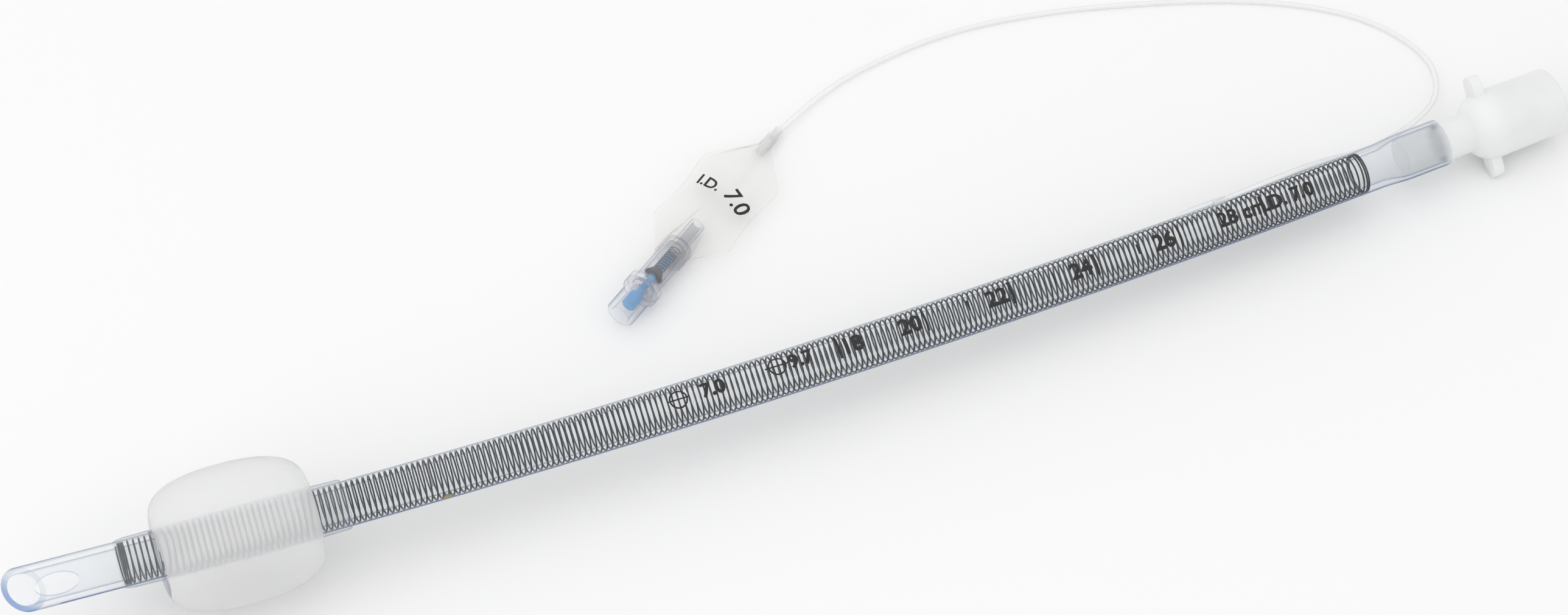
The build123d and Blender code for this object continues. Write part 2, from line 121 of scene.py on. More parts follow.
def clear_plastic(name, face, edge, faint, strong, roughness, wave=4, relief=0.02):
    """A see-through plastic, faint where it is looked at squarely and strong at its edges.

    A wall of clear plastic shows mostly by its rims, where the eye looks along it. Its
    surface is never quite even, and rises and falls in waves of a width in mm.
    """
    material, tree, output = new_material(name)
    rim = add_node(tree, "ShaderNodeLayerWeight", {"Blend": 0.5})
    strength = add_node(
        tree,
        "ShaderNodeMapRange",
        {"Value": rim.outputs["Facing"], "From Min": 0.45, "To Min": faint, "To Max": strong},
        interpolation_type="SMOOTHSTEP",
    )
    tint = add_node(tree, "ShaderNodeValToRGB", {"Fac": rim.outputs["Facing"]})
    tint.color_ramp.elements[0].position = 0.35
    tint.color_ramp.elements[0].color = colour(face)
    tint.color_ramp.elements[1].position = 0.95
    tint.color_ramp.elements[1].color = colour(edge)
    place = add_node(tree, "ShaderNodeTexCoord")
    waves = add_node(
        tree,
        "ShaderNodeTexNoise",
        {"Vector": place.outputs["Object"], "Scale": 1000 / wave, "Detail": 2.0},
    )
    relief_node = add_node(
        tree,
        "ShaderNodeBump",
        {"Height": waves.outputs["Fac"], "Strength": relief, "Distance": 0.0002},
    )
    shader = add_node(
        tree,
        "ShaderNodeBsdfPrincipled",
        {
            "Base Color": tint.outputs["Color"],
            "Alpha": strength.outputs["Result"],
            "Normal": relief_node.outputs["Normal"],
            "Roughness": roughness,
            "IOR": 1.53,
        },
    )
    tree.links.new(shader.outputs["BSDF"], output.inputs["Surface"])
    return material


# Soft PVC drawn to a thin tube: clear, but so thin that it reads as a whitish thread
soft_pvc = clear_plastic("soft_pvc_extruded", "#FAFAFA", "#C6C9CA", 0.3, 0.75, 0.22)

line_curve = bpy.data.curves.new("inflation_line", "CURVE")
line_curve.dimensions = "3D"
line_curve.resolution_u = 12
line_curve.bevel_depth = line_diameter / 2
line_curve.bevel_resolution = 4
line_curve.use_fill_caps = True
line_way = line_curve.splines.new("NURBS")
line_way.points.add(len(line_points) - 1)
for point, place in zip(line_way.points, line_points):
    point.co = (*place, 1)
line_way.order_u = 3
line_way.use_endpoint_u = True
inflation_line = bpy.data.objects.new("inflation_line", line_curve)
bpy.context.collection.objects.link(inflation_line)
inflation_line.data.materials.append(soft_pvc)
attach(inflation_line, "tube")
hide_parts("pilot_line")


# Tube: extruded clear PVC, 7.0 mm inside and 9.7 mm outside, cut off slantwise at the
# patient's end with an eye opposite the cut, and stretched over the connector's spigot.
tube_radius = 4.85
lumen_radius = 3.5
bend_start = 24
bend_end = 308
bend_radius = 2300
bend_turn = (bend_end - bend_start) / bend_radius
rest_slope = 0.021657
tip_height = 16.2696
frame_middle = (176.4, -2.81)
tip_start = -1.8
tube_end = 326
flare_full = 317
flare_radius = 5.27
flare_bore_radius = 4.47


def station(s):
    """The tube's centre at s mm from its marks' zero, with the ways forward, left and up."""
    on_bend = min(max(s, bend_start), bend_end)
    heading = (on_bend - bend_start) / bend_radius - bend_turn / 2
    x = bend_start * cos(bend_turn / 2) + bend_radius * (sin(heading) + sin(bend_turn / 2))
    y = -bend_start * sin(bend_turn / 2) + bend_radius * (cos(bend_turn / 2) - cos(heading))
    x += (s - on_bend) * cos(heading)
    y += (s - on_bend) * sin(heading)
    forward = Vector((cos(heading), sin(heading), -rest_slope * cos(heading))).normalized()
    left = Vector((-sin(heading), cos(heading), 0))
    centre = Vector((x - frame_middle[0], y - frame_middle[1], tip_height - rest_slope * x))
    return centre, forward, left, forward.cross(left)


def turned(name, profile, sides=64, hollow=True):
    """A round piece about the X axis, in mm, drawn out along (distance, radius) points."""
    bpy.ops.object.select_all(action="DESELECT")
    bpy.ops.mesh.primitive_circle_add(vertices=sides, radius=1)
    piece = bpy.context.object
    piece.name = piece.data.name = name
    bpy.ops.object.mode_set(mode="EDIT")
    bpy.ops.mesh.select_all(action="SELECT")
    bpy.ops.transform.rotate(value=pi / 2, orient_axis="Y", center_override=(0, 0, 0))
    distance, radius = profile[0]
    bpy.ops.transform.resize(value=(1, radius, radius), center_override=(0, 0, 0))
    bpy.ops.transform.translate(value=(distance, 0, 0))
    for next_distance, next_radius in profile[1:]:
        bpy.ops.mesh.extrude_region_move(
            TRANSFORM_OT_translate={"value": (next_distance - distance, 0, 0)}
        )
        ratio = next_radius / radius
        bpy.ops.transform.resize(value=(1, ratio, ratio), center_override=(next_distance, 0, 0))
        distance, radius = next_distance, next_radius
    bpy.ops.mesh.select_all(action="SELECT")
    bpy.ops.mesh.remove_doubles(threshold=0.002)
    if not hollow:
        bpy.ops.mesh.fill_holes(sides=sides)
    bpy.ops.mesh.select_all(action="SELECT")
    bpy.ops.mesh.normals_make_consistent(inside=False)
    bpy.ops.object.mode_set(mode="OBJECT")
    return piece


def along_tube(piece):
    """Moves a piece drawn straight, in mm, to its place on the bent tube, in metres."""
    for vertex in piece.data.vertices:
        centre, _, left, up = station(vertex.co.x)
        vertex.co = (centre + left * vertex.co.y + up * vertex.co.z) / 1000
    piece.data.update()


def select_only(*pieces):
    """Selects these pieces and no others, with the first one active."""
    bpy.ops.object.select_all(action="DESELECT")
    for piece in pieces:
        piece.select_set(True)
    bpy.context.view_layer.objects.active = pieces[0]


def softened(piece, width, segments=2, angle=40):
    """Rounds a piece's sharp edges by a width in mm."""
    bevel = piece.modifiers.new("edges", "BEVEL")
    bevel.width = width
    bevel.segments = segments
    bevel.limit_method = "ANGLE"
    bevel.angle_limit = radians(angle)
    select_only(piece)
    bpy.ops.object.modifier_apply(modifier="edges")


def smooth(piece, angle=35):
    """Shades a piece smooth, but for edges sharper than the angle in degrees."""
    select_only(piece)
    bpy.ops.object.shade_smooth_by_angle(angle=radians(angle))


def finish(piece, material, slot, *nodes, body="tube"):
    """Gives a piece its material, its body and the CAD nodes that it stands for; the slot is not
    used.
    """
    smooth(piece)
    piece.data.materials.clear()
    piece.data.materials.append(material)
    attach(piece, body)
    if nodes:
        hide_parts(*nodes)


# Clear PVC as it comes from the extruder: glossy, with a cold blue cast along its edges
clear_pvc = clear_plastic("clear_pvc_extruded", "#DDE8F4", "#456690", 0.07, 0.9, 0.07)

outside = [(tip_start, tube_radius), (bend_start, tube_radius)]
outside += [(s, tube_radius) for s in range(34, 308, 10)]
outside += [
    (310, 4.85),
    (311.2, 4.88),
    (312.6, 4.97),
    (314, 5.1),
    (315.4, 5.21),
    (flare_full, flare_radius),
    (tube_end, flare_radius),
]
inside = [
    (tube_end, flare_bore_radius),
    (flare_full, flare_bore_radius),
    (315.6, 4.38),
    (314.2, 4.13),
    (312.8, 3.81),
    (311.2, 3.56),
    (310, lumen_radius),
]
inside += [(s, lumen_radius) for s in range(298, 30, -10)]
inside += [(bend_start, lumen_radius), (tip_start, lumen_radius), (tip_start, tube_radius)]
tube = turned("tube_wall", outside + inside, sides=96)


def carve(piece, other, operation="DIFFERENCE"):
    """Takes the other solid away from the piece, or unites them, and removes the other."""
    change = piece.modifiers.new("carve", "BOOLEAN")
    change.operation = operation
    change.solver = "EXACT"
    change.object = other
    select_only(piece)
    bpy.ops.object.modifier_apply(modifier="carve")
    bpy.data.objects.remove(other)


# The eye in the wall opposite the slanting cut
eye_place = 9.5
eye_half_length = 4.7
eye_half_width = 2.3
eye_side = radians(294.5)
bpy.ops.object.select_all(action="DESELECT")
bpy.ops.mesh.primitive_cylinder_add(vertices=64, radius=1, depth=2 * tube_radius)
eye_punch = bpy.context.object
bpy.ops.object.mode_set(mode="EDIT")
bpy.ops.mesh.select_all(action="SELECT")
bpy.ops.transform.resize(
    value=(eye_half_length, eye_half_width, 1), center_override=(0, 0, 0)
)
bpy.ops.object.mode_set(mode="OBJECT")
tube_way = Vector((1, 0, 0))
eye_way = Vector((0, cos(eye_side), sin(eye_side)))
eye_frame = Matrix((tube_way, eye_way.cross(tube_way), eye_way)).transposed().to_4x4()
eye_middle = Vector((eye_place, 0, 0)) + eye_way * tube_radius
eye_punch.data.transform(Matrix.Translation(eye_middle) @ eye_frame)
carve(tube, eye_punch)

# The slanting cut, which faces the camera
bevel_run = 8.432
knife_size = 40
bevel_side = radians(133.6)
bevel_way = Vector((0, cos(bevel_side), sin(bevel_side)))
cut_normal = (tube_way * 2 * tube_radius - bevel_way * bevel_run).normalized()
cut_level = cut_normal.cross(bevel_way).normalized()
bpy.ops.object.select_all(action="DESELECT")
bpy.ops.mesh.primitive_cube_add(size=knife_size)
tip_knife = bpy.context.object
knife_frame = Matrix((cut_normal, cut_level, cut_normal.cross(cut_level))).transposed().to_4x4()
knife_middle = Vector((tip_start + bevel_run / 2, 0, 0)) - cut_normal * (knife_size / 2)
tip_knife.data.transform(Matrix.Translation(knife_middle) @ knife_frame)
carve(tube, tip_knife)
softened(tube, 0.25, segments=3, angle=50)
cut_zone_end = 16
least_depth = 0.5
cut_faces = []
for face in tube.data.polygons:
    corners = [tube.data.vertices[i].co for i in face.vertices]
    reaches = [sqrt(corner.y**2 + corner.z**2) for corner in corners]
    if face.center.x < cut_zone_end and max(reaches) - min(reaches) > least_depth:
        cut_faces.append(face.index)
along_tube(tube)
finish(tube, clear_pvc, "clear_pvc", "tube_shaft")

# The cut edges show the wall's whole thickness, so there the PVC's own blue is deepest
cut_top = 0.0195
cut_bottom = 0.0118
cut_pvc, tree, output = new_material("clear_pvc_cut_edge")
place = add_node(tree, "ShaderNodeTexCoord")
parts_of_place = add_node(tree, "ShaderNodeSeparateXYZ", {"Vector": place.outputs["Object"]})
depth = add_node(
    tree,
    "ShaderNodeMapRange",
    {"Value": parts_of_place.outputs["Z"], "From Min": cut_top, "From Max": cut_bottom},
    interpolation_type="SMOOTHSTEP",
)
strength = add_node(
    tree, "ShaderNodeMapRange", {"Value": depth.outputs["Result"], "To Min": 0.22, "To Max": 0.72}
)
shade = add_node(tree, "ShaderNodeValToRGB", {"Fac": depth.outputs["Result"]})
shade.color_ramp.elements[0].color = colour("#A9BDD3")
shade.color_ramp.elements[1].color = colour("#3A7AC2")
shader = add_node(
    tree,
    "ShaderNodeBsdfPrincipled",
    {
        "Base Color": shade.outputs["Color"],
        "Alpha": strength.outputs["Result"],
        "Roughness": 0.1,
        "IOR": 1.53,
    },
)
tree.links.new(shader.outputs["BSDF"], output.inputs["Surface"])
tube.data.materials.append(cut_pvc)
for index in cut_faces:
    tube.data.polygons[index].material_index = 1


# Reinforcing wire: hard-drawn steel wire, 0.4 mm thick, wound round the inner wall in one
# long coil. Its turns lie close together at both ends, and 1.2 mm apart between them.
wire_start = 22.8
wire_end = 306
wire_radius = 4.38
wire_thickness = 0.4
close_pitch = 0.46
first_close_turns = 3
last_close_turns = 2
even_turns = 234
close_length = (first_close_turns + last_close_turns) * close_pitch
even_pitch = (wire_end - wire_start - close_length) / even_turns
wire_parts = []
for begin, turns, pitch in (
    (wire_start, first_close_turns, close_pitch),
    (wire_start + first_close_turns * close_pitch, even_turns, even_pitch),
    (wire_end - last_close_turns * close_pitch, last_close_turns, close_pitch),
):
    bpy.ops.object.select_all(action="DESELECT")
    bpy.ops.mesh.primitive_circle_add(vertices=6, radius=wire_thickness / 2)
    length_of_wire = bpy.context.object
    length_of_wire.data.transform(Matrix.Translation((begin, wire_radius, 0)))
    winding = length_of_wire.modifiers.new("winding", "SCREW")
    winding.axis = "X"
    winding.angle = -2 * pi
    winding.screw_offset = pitch
    winding.iterations = turns
    winding.steps = winding.render_steps = 32
    bpy.ops.object.modifier_apply(modifier="winding")
    wire_parts.append(length_of_wire)
select_only(*wire_parts)
bpy.ops.object.join()
wire = bpy.context.object
wire.name = wire.data.name = "wire_coil"
bpy.ops.object.mode_set(mode="EDIT")
bpy.ops.mesh.select_all(action="SELECT")
bpy.ops.mesh.remove_doubles(threshold=0.002)
bpy.ops.mesh.fill_holes(sides=6)
bpy.ops.mesh.select_all(action="SELECT")
bpy.ops.mesh.normals_make_consistent(inside=False)
bpy.ops.object.mode_set(mode="OBJECT")
along_tube(wire)


def mottled(name, dark, light, patch, surface, detail=2.0, ends=(0, 1)):
    """An opaque material that runs from a dark to a light shade in patches of a width in mm."""
    material, tree, output = new_material(name)
    place = add_node(tree, "ShaderNodeTexCoord")
    patches = add_node(
        tree,
        "ShaderNodeTexNoise",
        {"Vector": place.outputs["Object"], "Scale": 1000 / patch, "Detail": detail},
    )
    shade = add_node(tree, "ShaderNodeValToRGB", {"Fac": patches.outputs["Fac"]})
    for end, position, code in zip(shade.color_ramp.elements, ends, (dark, light)):
        end.position = position
        end.color = colour(code)
    shader = add_node(
        tree, "ShaderNodeBsdfPrincipled", {"Base Color": shade.outputs["Color"], **surface}
    )
    tree.links.new(shader.outputs["BSDF"], output.inputs["Surface"])
    return material


# Hard-drawn steel, with its colour painted far darker than bare steel: a painted dark reflection,
# since under the white studio light the metal would shine light grey. It is dark and bright by
# turns. The die's lines are hundredths of a mm apart, too fine to show, so they are drawn as
# patches of about 1 mm.
steel = mottled(
    "steel_wire_hard_drawn",
    "#151413",
    "#45423E",
    1.111,
    {"Metallic": 1.0, "Roughness": 0.32},
    detail=3.0,
    ends=(0.3, 0.75),
)
finish(wire, steel, "steel_wire", "reinforcing_wire")


# X-ray line: a thread of blue PVC loaded with barium sulphate, drawn out within the tube's
# wall, so that the tube shows on an X-ray. The CAD solid has its whole shape.

# Filled PVC: a solid, slightly uneven blue. The filler's grains are finer than can show, so
# they are drawn as patches of about 1.4 mm.
blue_thread = mottled(
    "blue_pvc_barium_filled", "#073C88", "#1C63B8", 1.429, {"Roughness": 0.35}
)
for slot_of_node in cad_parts["xray_line"].material_slots:
    slot_of_node.material = blue_thread


# Cuff: a thin balloon of frosted PVC film, blown full, with a collar at each end that is
# bonded round the tube. The film is matt, so what lies behind it is blurred.
cuff_start = 30.6
cuff_end = 64.2
cuff_radius = 15.0
cuff_root_radius = 5.7
cuff_steps = 48
cuff_profile = [
    (22.4, 4.9),
    (23.2, 5.15),
    (24.6, 5.34),
    (27.5, 5.36),
    (30.0, 5.42),
    (cuff_start, cuff_root_radius),
]
cuff_middle = (cuff_start + cuff_end) / 2
for step in range(1, cuff_steps):
    turn = pi * step / cuff_steps
    run = -cos(turn)
    reach = abs(sin(turn))
    s = cuff_middle + (cuff_end - cuff_start) / 2 * (abs(run) ** 0.86) * (1 if run > 0 else -1)
    cuff_profile.append((s, cuff_root_radius + (cuff_radius - cuff_root_radius) * reach**0.66))
cuff_profile += [
    (cuff_end, cuff_root_radius),
    (64.8, 5.5),
    (67.5, 5.42),
    (70.2, 5.38),
    (70.8, 5.25),
    (71.0, 4.9),
]
cuff = turned("cuff_film", cuff_profile, sides=128)
along_tube(cuff)

# Frosted PVC film: scatters light as it passes, like thin tracing paper. It is a little
# uneven over about 17 mm, and its grit is drawn 0.4 mm wide so that it shows.
film_patch = 16.67
film_grit = 0.4
frosted_film, tree, output = new_material("pvc_film_frosted")
place = add_node(tree, "ShaderNodeTexCoord")
mist = add_node(
    tree,
    "ShaderNodeTexNoise",
    {"Vector": place.outputs["Object"], "Scale": 1000 / film_patch, "Detail": 4.0},
)
cloud = add_node(
    tree,
    "ShaderNodeMapRange",
    {"Value": mist.outputs["Fac"], "To Min": 0.36, "To Max": 0.44},
)
frost = add_node(
    tree, "ShaderNodeTexNoise", {"Vector": place.outputs["Object"], "Scale": 1000 / film_grit}
)
frost_relief = add_node(
    tree,
    "ShaderNodeBump",
    {"Height": frost.outputs["Fac"], "Strength": 0.08, "Distance": 0.0001},
)
shader = add_node(
    tree,
    "ShaderNodeBsdfPrincipled",
    {
        "Base Color": colour("#FDFDFD"),
        "Roughness": cloud.outputs["Result"],
        "Normal": frost_relief.outputs["Normal"],
        "IOR": 1.13,
        "Transmission Weight": 0.54,
    },
)
tree.links.new(shader.outputs["BSDF"], output.inputs["Surface"])
finish(cuff, frosted_film, "frosted_film", "cuff")

# The two collars are not frosted, and the wire shows through them
clear_collar = clear_plastic("clear_pvc_bonded_collar", "#E6EDF4", "#6B7F98", 0.1, 0.7, 0.12)
cuff.data.materials.append(clear_collar)
film_from = station(cuff_start)[0].x / 1000
film_to = station(cuff_end)[0].x / 1000
for face in cuff.data.polygons:
    if not film_from < face.center.x < film_to:
        face.material_index = 1


# Connector: moulded polypropylene, milky, with a spigot that the tube is pushed over, a
# rounded shoulder with two ears to pull it by, and a 15 mm cone for the breathing circuit.
connector_profile = [
    (316.2, 3.2),
    (316.2, 4.15),
    (317, 4.45),
    (326, 4.45),
    (332.3, 4.45),
    (332.7, 4.53),
    (333.23, 5.15),
    (333.76, 5.79),
    (334.36, 6.36),
    (335.04, 6.84),
    (335.77, 7.23),
    (336.54, 7.51),
    (337.35, 7.69),
    (338.17, 7.76),
    (339, 7.72),
    (353.7, 7.51),
    (354.2, 7.42),
    (354.45, 7.2),
    (354.54, 6.95),
    (354.5, 6.65),
    (354.3, 6.45),
    (340, 6.45),
    (336, 3.2),
    (316.2, 3.2),
]
connector = turned("connector_moulding", connector_profile, sides=96)
ear_place = 337.2
ear_offset = 9.37
ear_root = 6.6
ear_radius = 2.3
ear_thickness = 2.4
ear_way = radians(45)
for side in (0, pi):
    bpy.ops.object.select_all(action="DESELECT")
    bpy.ops.mesh.primitive_cylinder_add(vertices=48, radius=ear_radius, depth=ear_thickness)
    ear = bpy.context.object
    bpy.ops.object.mode_set(mode="EDIT")
    bpy.ops.mesh.select_all(action="SELECT")
    bpy.ops.transform.rotate(value=pi / 2, orient_axis="Y", center_override=(0, 0, 0))
    bpy.ops.object.mode_set(mode="OBJECT")
    for vertex in ear.data.vertices:
        vertex.co.y += ear_offset
        if vertex.co.y < ear_offset:
            vertex.co.y = ear_root
    ear.data.transform(Matrix.Rotation(ear_way + side, 4, "X"))
    ear.data.transform(Matrix.Translation((ear_place, 0, 0)))
    softened(ear, 0.8, segments=5, angle=50)
    carve(connector, ear, "UNION")
along_tube(connector)

# Milky polypropylene: light soaks in and glows through the thin walls. Where the spigot is
# wetted by the tube round it, it turns nearly clear. The melt's swirls are about 8 mm wide.
clear_end = 0.1481
milky_start = 0.1498
milky_clearness = 0.08
swirl_width = 8.333
milky_pp, tree, output = new_material("polypropylene_moulded_milky")
place = add_node(tree, "ShaderNodeTexCoord")
parts_of_place = add_node(tree, "ShaderNodeSeparateXYZ", {"Vector": place.outputs["Object"]})
wetted = add_node(
    tree,
    "ShaderNodeMapRange",
    {
        "Value": parts_of_place.outputs["X"],
        "From Min": milky_start,
        "From Max": clear_end,
        "To Min": milky_clearness,
        "To Max": 0.82,
    },
)
bending = add_node(
    tree,
    "ShaderNodeMapRange",
    {
        "Value": wetted.outputs["Result"],
        "From Min": milky_clearness,
        "From Max": 0.25,
        "To Min": 1.49,
        "To Max": 1.015,
    },
)
swirl = add_node(
    tree,
    "ShaderNodeTexNoise",
    {"Vector": place.outputs["Object"], "Scale": 1000 / swirl_width, "Detail": 3.0},
)
shade = add_node(tree, "ShaderNodeValToRGB", {"Fac": swirl.outputs["Fac"]})
shade.color_ramp.elements[0].color = colour("#EEF0F0")
shade.color_ramp.elements[1].color = colour("#FAFAFA")
skin = add_node(
    tree,
    "ShaderNodeBump",
    {"Height": swirl.outputs["Fac"], "Strength": 0.05, "Distance": 0.0003},
)
shader = add_node(
    tree,
    "ShaderNodeBsdfPrincipled",
    {
        "Base Color": shade.outputs["Color"],
        "Transmission Weight": wetted.outputs["Result"],
        "IOR": bending.outputs["Result"],
        "Normal": skin.outputs["Normal"],
        "Roughness": 0.34,
        "Subsurface Weight": 0.35,
        "Subsurface Radius": (0.004, 0.004, 0.004),
        "Subsurface Scale": 1.0,
    },
)
tree.links.new(shader.outputs["BSDF"], output.inputs["Surface"])
finish(connector, milky_pp, "milky_plastic", "connector_15mm")


# Line junction: a drop of clear PVC moulded over the place where the inflation line enters
# the tube's wall, drawn out to a thin point towards the patient.
junction = turned(
    "junction_drop",
    [
        (261.5, 0.12),
        (261.7, 0.45),
        (262.6, 0.62),
        (264, 0.83),
        (265.5, 0.97),
        (267.5, 1.0),
        (271, 1.0),
        (272.6, 0.94),
        (273.5, 0.8),
        (273.5, 0.64),
        (270.6, 0.64),
        (270.5, 0.1),
    ],
    sides=32,
)
junction_way = radians(62)
junction_gap = 0.03
junction_reach = tube_radius + line_diameter * 500 + junction_gap
for vertex in junction.data.vertices:
    vertex.co.y += junction_reach * cos(junction_way)
    vertex.co.z += junction_reach * sin(junction_way)
along_tube(junction)

# Overmoulded PVC: clear as water, so the drop shows by its bright rim alone
clear_drop = clear_plastic("clear_pvc_overmoulded", "#EEF3F8", "#8C9DB2", 0.12, 0.75, 0.1)
finish(junction, clear_drop, "clear_pvc", "line_junction")


# Valve: a clear socket for a syringe's tip, plugged into a clear body that the balloon grips.
# Both halves are moulded polycarbonate, and their joint shows as two fine dark rings.
valve_heading = radians(34.6)
valve_dip = radians(2.5)
valve_inward = Vector(
    (cos(valve_heading) * cos(valve_dip), sin(valve_heading) * cos(valve_dip), -sin(valve_dip))
)
valve_left = Vector((-sin(valve_heading), cos(valve_heading), 0))
valve_mouth = Vector((-33.7, 28.83, 4.49903))
valve_frame = (
    Matrix.Scale(0.001, 4)
    @ Matrix.Translation(valve_mouth)
    @ Matrix((valve_inward, valve_left, valve_inward.cross(valve_left))).transposed().to_4x4()
)


def on_valve(piece):
    """Moves a piece drawn about the X axis, in mm from the valve's mouth, to its place."""
    piece.data.transform(valve_frame)


# Polycarbonate: hard and clear, with sharp shine and a violet-grey cast along its walls
clear_pc = clear_plastic(
    "polycarbonate_moulded_clear", "#EDF0F9", "#71769A", 0.11, 0.92, 0.06, relief=0.05
)

socket = turned(
    "valve_luer_socket",
    [
        (0, 2.15),
        (0, 2.95),
        (0.4, 3.35),
        (7.0, 3.35),
        (7.0, 3.75),
        (7.35, 4.1),
        (8.6, 4.1),
        (8.6, 2.6),
        (9.6, 2.6),
        (9.6, 1.15),
        (8.1, 1.15),
        (8.1, 1.95),
        (0, 2.15),
    ],
)
softened(socket, 0.12, segments=2, angle=40)
on_valve(socket)
finish(socket, clear_pc, "clear_plastic", "valve_socket")

body = turned(
    "valve_housing",
    [
        (8.63, 2.63),
        (8.63, 4.1),
        (10.2, 4.1),
        (10.2, 3.1),
        (23.0, 3.1),
        (23.0, 1.8),
        (30.0, 1.8),
        (30.0, 1.1),
        (22.0, 1.1),
        (22.0, 2.45),
        (12.6, 2.45),
        (12.6, 1.4),
        (9.63, 1.4),
        (9.63, 2.63),
        (8.63, 2.63),
    ],
)
softened(body, 0.14, segments=2, angle=40)
on_valve(body)
finish(body, clear_pc, "clear_plastic", "valve_body")


# Plunger: a stem of blue polypropylene with a broader head under the socket's mouth. A
# syringe's tip pushes it inward, and the spring brings it back.
plunger = turned(
    "plunger_stem",
    [
        (3.1, 0.05),
        (3.1, 1.4),
        (3.3, 1.6),
        (6.4, 1.6),
        (6.6, 1.4),
        (6.6, 0.85),
        (14.85, 0.85),
        (14.85, 0.8),
        (20.1, 0.8),
        (20.4, 0.65),
        (20.4, 0.05),
    ],
    sides=40,
    hollow=False,
)
on_valve(plunger)

# Blue polypropylene: an even, bright blue with a soft shine, and flow marks about 2.5 mm wide
blue_pp = mottled(
    "polypropylene_moulded_blue", "#1B78BC", "#4BA6D6", 2.5, {"Roughness": 0.4, "IOR": 1.49}
)
finish(plunger, blue_pp, "blue_plastic", "valve_plunger", body="plunger")


# Seal: a cone of black nitrile rubber pressed on the stem, which closes the seat from
# inside, its wide end towards the mouth.
seal = turned(
    "seal_cone",
    [
        (12.65, 0.88),
        (12.65, 2.0),
        (12.8, 2.15),
        (13.15, 2.15),
        (13.4, 1.95),
        (14.7, 1.26),
        (14.85, 1.15),
        (14.85, 0.88),
        (12.65, 0.88),
    ],
    sides=40,
)
on_valve(seal)

# Nitrile rubber: a dull black that hardly shines, with a faint bloom in patches under 1 mm
black_rubber = mottled(
    "nitrile_rubber_moulded_black",
    "#0B0D12",
    "#1C2027",
    0.8333,
    {"Roughness": 0.6, "IOR": 1.52},
    detail=3.0,
)
finish(seal, black_rubber, "black_rubber", "valve_seal", body="plunger")


# Spring: a short coil of stainless steel between the seal and the end of the chamber. In the valve
# its far end stays in the chamber, and its near end goes with the seal, so its turns draw together;
# here the coil is drawn at rest, on no moving body.
spring_start = 15.05
spring_turns = 9
spring_pitch = 0.75
spring_radius = 1.15
spring_wire = 0.3
bpy.ops.object.select_all(action="DESELECT")
bpy.ops.mesh.primitive_circle_add(vertices=12, radius=spring_wire / 2)
spring = bpy.context.object
spring.name = spring.data.name = "spring_coil"
bpy.ops.object.mode_set(mode="EDIT")
bpy.ops.mesh.select_all(action="SELECT")
bpy.ops.transform.translate(value=(spring_start, spring_radius, 0))
bpy.ops.object.mode_set(mode="OBJECT")
winding = spring.modifiers.new("winding", "SCREW")
winding.axis = "X"
winding.iterations = spring_turns
winding.screw_offset = spring_pitch
winding.steps = winding.render_steps = 24
bpy.ops.object.modifier_apply(modifier="winding")
bpy.ops.object.mode_set(mode="EDIT")
bpy.ops.mesh.select_all(action="SELECT")
bpy.ops.mesh.remove_doubles(threshold=0.001)
bpy.ops.mesh.fill_holes(sides=12)
bpy.ops.mesh.normals_make_consistent(inside=False)
bpy.ops.object.mode_set(mode="OBJECT")
on_valve(spring)
smooth(spring)

# Stainless steel: grey glints along each turn. The drawing lines are drawn coarse, 0.7 mm.
spring_steel = mottled(
    "stainless_steel_spring", "#25282E", "#565B64", 0.6667, {"Metallic": 1.0, "Roughness": 0.3}
)
spring.data.materials.append(spring_steel)
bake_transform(spring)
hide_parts("valve_spring")


# Pilot balloon: two sheets of clear film welded round their edge to a flat bag with a waist.
# The film rises over the valve's outlet at one end and the neck at the other, in soft folds.
bag_start = 18.4
bag_length = 41.6
fill_height = 1.5
fill_rise = 5
fill_end = 57.6
weld_share = 0.93
weld_half_thickness = 0.13
bag_widths = [
    (18.4, 3.45),
    (19.4, 4.1),
    (20.4, 4.9),
    (25.4, 8.5),
    (26.6, 9.35),
    (28.2, 9.75),
    (30.5, 9.45),
    (33.5, 9.05),
    (36.6, 8.9),
    (40.0, 9.05),
    (43.4, 9.45),
    (45.6, 9.75),
    (47.2, 9.45),
    (48.6, 8.55),
    (54.6, 3.2),
    (56.2, 1.9),
    (57.2, 1.35),
    (58.4, 1.25),
    (60.0, 1.25),
]
bag_rounds = [
    (18.4, 3.45),
    (23.2, 3.35),
    (27.0, 2.7),
    (32.0, 2.15),
    (36.0, 1.3),
    (44.0, 0.9),
    (52.0, 0.95),
    (57.0, 1.24),
    (60.0, 1.25),
]


def between(table, value):
    """The value of a table of (place, size) pairs at a place, along straight lines."""
    for (low, first), (high, second) in zip(table, table[1:]):
        if value <= high:
            return first + (second - first) * max(0, value - low) / (high - low)
    return table[-1][1]


def bag_height(u, share):
    """Half the bag's thickness at u along the valve, at a share of its half width."""
    width = between(bag_widths, u)
    y = share * width
    round_part = between(bag_rounds, u)
    ridge = sqrt(max(0, round_part**2 - y**2))
    fullness = min(1, max(0, (u - bag_start) / fill_rise))
    fullness *= min(1, max(0, (fill_end - u) / fill_rise))
    pillow = fill_height * fullness * (1 - min(1, abs(share) / weld_share) ** 2.4)
    pillow *= 1 + 0.16 * cos(share * 9.5) * (1 - abs(share)) + 0.05 * sin(u * 0.7 + share * 4)
    blend = (ridge**5 + pillow**5) ** 0.2 if ridge > 0 or pillow > 0 else 0
    return max(weld_half_thickness, blend)


